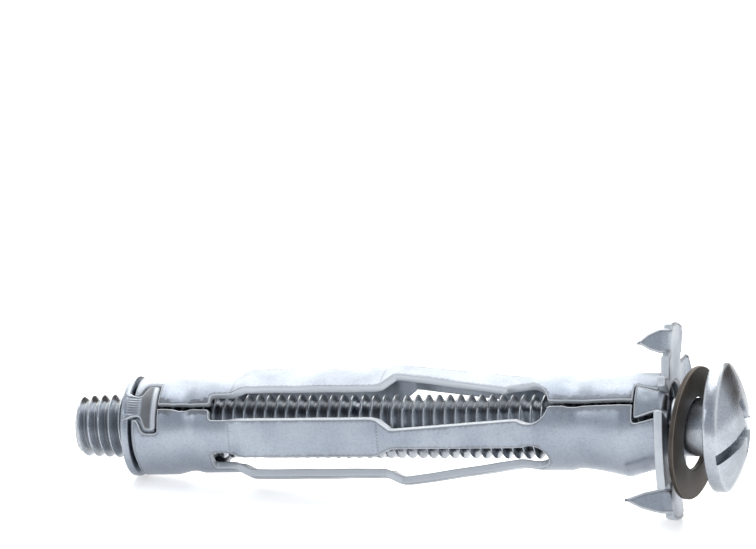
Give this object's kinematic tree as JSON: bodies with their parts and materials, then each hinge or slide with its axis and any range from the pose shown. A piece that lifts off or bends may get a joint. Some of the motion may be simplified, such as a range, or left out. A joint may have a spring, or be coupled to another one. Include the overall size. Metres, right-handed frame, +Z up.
{
  "type": "hollow-wall sleeve anchor",
  "caption": "Zinc-plated hollow-wall sleeve anchor: slotted kneed sleeve, keyed rear nut plate, clawed front plate, dome-head screw and loose washer, lying on its side.",
  "frame": {"origin": "on the ground, under the middle of the part's box", "axes": "+X towards the screw head, +Z up, as the anchor lies at rest"},
  "size_m": [0.0628, 0.0124, 0.0179],
  "materials": {
    "zinc_sheet": "bright blue-white zinc plating on rolled sheet",
    "zinc_plate": "bright blue-white zinc plating on stamped plate",
    "zinc_screw": "bright zinc plating on rolled thread",
    "dark_washer": "dark brown-grey satin washer"
  },
  "bodies": {
    "anchor": {"sleeve": "zinc_sheet", "rear_plate": "zinc_plate", "front_plate": "zinc_plate"},
    "hanging_washer": {"washer": "dark_washer"},
    "screw": {"screw": "zinc_screw"}
  },
  "joints": [
    {"name": "screw_travel", "type": "slide", "parent": "anchor", "child": "hanging_washer", "axis": [0.9972, 0, 0.0752], "range_m": [-0.00025, 0.008]},
    {"name": "screw_turn", "type": "hinge", "parent": "hanging_washer", "child": "screw", "pos_m": [0.02839, 0, 0.0087], "axis": [0.9972, 0, 0.0752], "range_deg": [-91, 2881]}
  ],
  "couplings": [
    {"joint": "screw_turn", "follows": "screw_travel", "rad_per_m": 6283.2}
  ]
}
